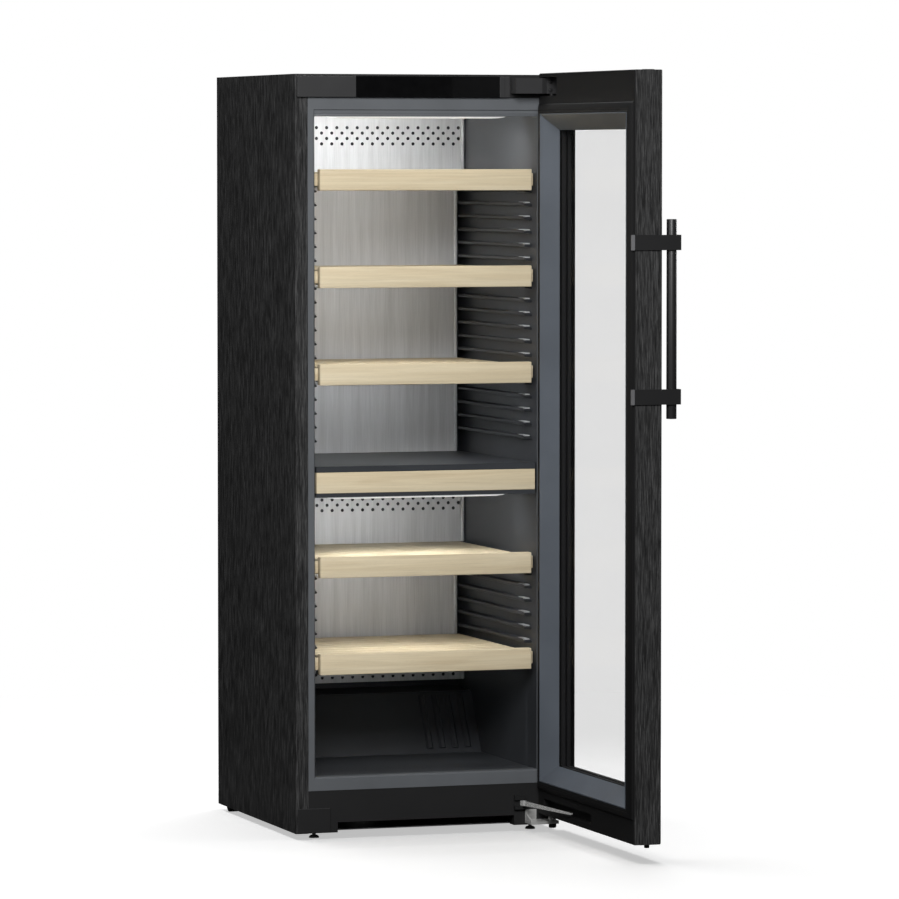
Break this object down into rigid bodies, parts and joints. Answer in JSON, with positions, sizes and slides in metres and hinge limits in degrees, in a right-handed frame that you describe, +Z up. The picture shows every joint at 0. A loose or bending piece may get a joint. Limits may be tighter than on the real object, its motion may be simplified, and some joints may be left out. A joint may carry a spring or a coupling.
{
  "type": "wine cooler",
  "caption": "Tall freestanding wine cooler with its glass door open, wooden sliding shelves in two cooled zones, a bar handle and a recessed plinth.",
  "frame": {"origin": "centre of the footprint on the floor, with the door open at 90 degrees", "axes": "+Z up, the cabinet's front faces -Y, +X to the right as seen from the front"},
  "size_m": [0.6546, 1.206, 1.655],
  "materials": {
    "black_steel": "satin",
    "black_plastic": "matte",
    "door_black": "satin",
    "grey_trim": "matte",
    "dark_liner": "matte",
    "stainless": "satin",
    "zinc_plate": "satin",
    "cooling_plate": "satin",
    "beech": "satin",
    "glass": "polished",
    "display_gloss": "gloss",
    "light_diffuser": "matte",
    "foam": "matte",
    "rubber": "matte"
  },
  "bodies": {
    "cabinet": {"side_panel_left": "black_steel", "side_panel_right": "black_steel", "top_panel": "black_plastic", "rear_panel": "black_steel", "insulation": "foam", "liner_left": "dark_liner", "liner_right": "dark_liner", "liner_top": "dark_liner", "liner_floor": "dark_liner", "liner_rear": "dark_liner", "front_frame": "grey_trim", "air_panel_upper": "stainless", "air_panel_lower": "stainless", "zone_divider": "dark_liner", "divider_front": "beech", "led_light_bar": "light_diffuser", "evaporator_upper": "cooling_plate", "evaporator_lower": "cooling_plate", "fan_frame_upper": "black_plastic", "fan_frame_lower": "black_plastic", "compressor": "black_steel", "condenser": "cooling_plate", "drain_tray": "black_plastic", "base_tray": "black_steel", "plinth_cover": "black_plastic", "corner_cover_left": "black_plastic", "fascia": "black_plastic", "display_panel": "display_gloss", "hinge_bracket_upper": "black_plastic", "hinge_pin_upper": "zinc_plate", "hinge_bracket_lower": "zinc_plate", "hinge_pin_lower": "zinc_plate", "hinge_bush_lower": "rubber", "closer_housing": "black_plastic", "foot_front_left": "zinc_plate", "foot_front_right": "zinc_plate", "mains_inlet": "black_plastic"},
    "door": {"door_frame": "door_black", "door_trim": "grey_trim", "door_gasket": "rubber", "glass_inner": "glass", "glass_middle": "glass", "glass_outer": "glass", "spacer_inner": "black_plastic", "spacer_outer": "black_plastic"},
    "handle": {"handle_bar": "black_steel", "handle_bracket_lower": "black_steel", "handle_bracket_upper": "black_steel"},
    "handle_pushers": {"handle_pusher_lower": "black_plastic", "handle_pusher_upper": "black_plastic"},
    "closer_arm": {"closer_arm": "zinc_plate"},
    "shelf_1": {"shelf_1": "beech"},
    "shelf_2": {"shelf_2": "beech"},
    "shelf_3": {"shelf_3": "beech"},
    "shelf_4": {"shelf_4": "beech"},
    "shelf_5": {"shelf_5": "beech"},
    "fan_upper": {"fan_rotor_upper": "black_plastic"},
    "fan_lower": {"fan_rotor_lower": "black_plastic"},
    "roller_left": {"roller_rear_left": "black_plastic"},
    "roller_right": {"roller_rear_right": "black_plastic"}
  },
  "joints": [
    {"name": "door_hinge", "type": "hinge", "parent": "cabinet", "child": "door", "pos_m": [0.24625, -0.027, 0.8465], "axis": [0, 0, 1], "range_deg": [-90, 15]},
    {"name": "closer_arm_pivot", "type": "hinge", "parent": "cabinet", "child": "closer_arm", "pos_m": [0.18775, -0.003, 0.062], "axis": [0, 0, 1], "range_deg": [-98.5, 16.5]},
    {"name": "handle_pull", "type": "slide", "parent": "door", "child": "handle", "axis": [1, 0, 0], "range_m": [0, 0.008], "stiffness_N_per_m": 1500},
    {"name": "handle_push", "type": "slide", "parent": "door", "child": "handle_pushers", "axis": [1, 0, 0], "range_m": [-0.004, 0]},
    {"name": "shelf_1_slide", "type": "slide", "parent": "cabinet", "child": "shelf_1", "axis": [0, -1, 0], "range_m": [0, 0.28]},
    {"name": "shelf_2_slide", "type": "slide", "parent": "cabinet", "child": "shelf_2", "axis": [0, -1, 0], "range_m": [0, 0.28]},
    {"name": "shelf_3_slide", "type": "slide", "parent": "cabinet", "child": "shelf_3", "axis": [0, -1, 0], "range_m": [0, 0.28]},
    {"name": "shelf_4_slide", "type": "slide", "parent": "cabinet", "child": "shelf_4", "axis": [0, -1, 0], "range_m": [0, 0.28]},
    {"name": "shelf_5_slide", "type": "slide", "parent": "cabinet", "child": "shelf_5", "axis": [0, -1, 0], "range_m": [0, 0.28]},
    {"name": "fan_upper_spin", "type": "hinge", "parent": "cabinet", "child": "fan_upper", "pos_m": [-0.02875, 0.512, 1.43], "axis": [0, 1, 0], "continuous": true},
    {"name": "fan_lower_spin", "type": "hinge", "parent": "cabinet", "child": "fan_lower", "pos_m": [-0.02875, 0.512, 0.655], "axis": [0, 1, 0], "continuous": true},
    {"name": "roller_left_spin", "type": "hinge", "parent": "cabinet", "child": "roller_left", "pos_m": [-0.31025, 0.543, 0.015], "axis": [1, 0, 0], "continuous": true},
    {"name": "roller_right_spin", "type": "hinge", "parent": "cabinet", "child": "roller_right", "pos_m": [0.25275, 0.543, 0.015], "axis": [1, 0, 0], "continuous": true}
  ],
  "couplings": [
    {"joint": "closer_arm_pivot", "follows": "door_hinge", "ratio": 1.09},
    {"joint": "handle_push", "follows": "handle_pull", "ratio": -0.5}
  ]
}
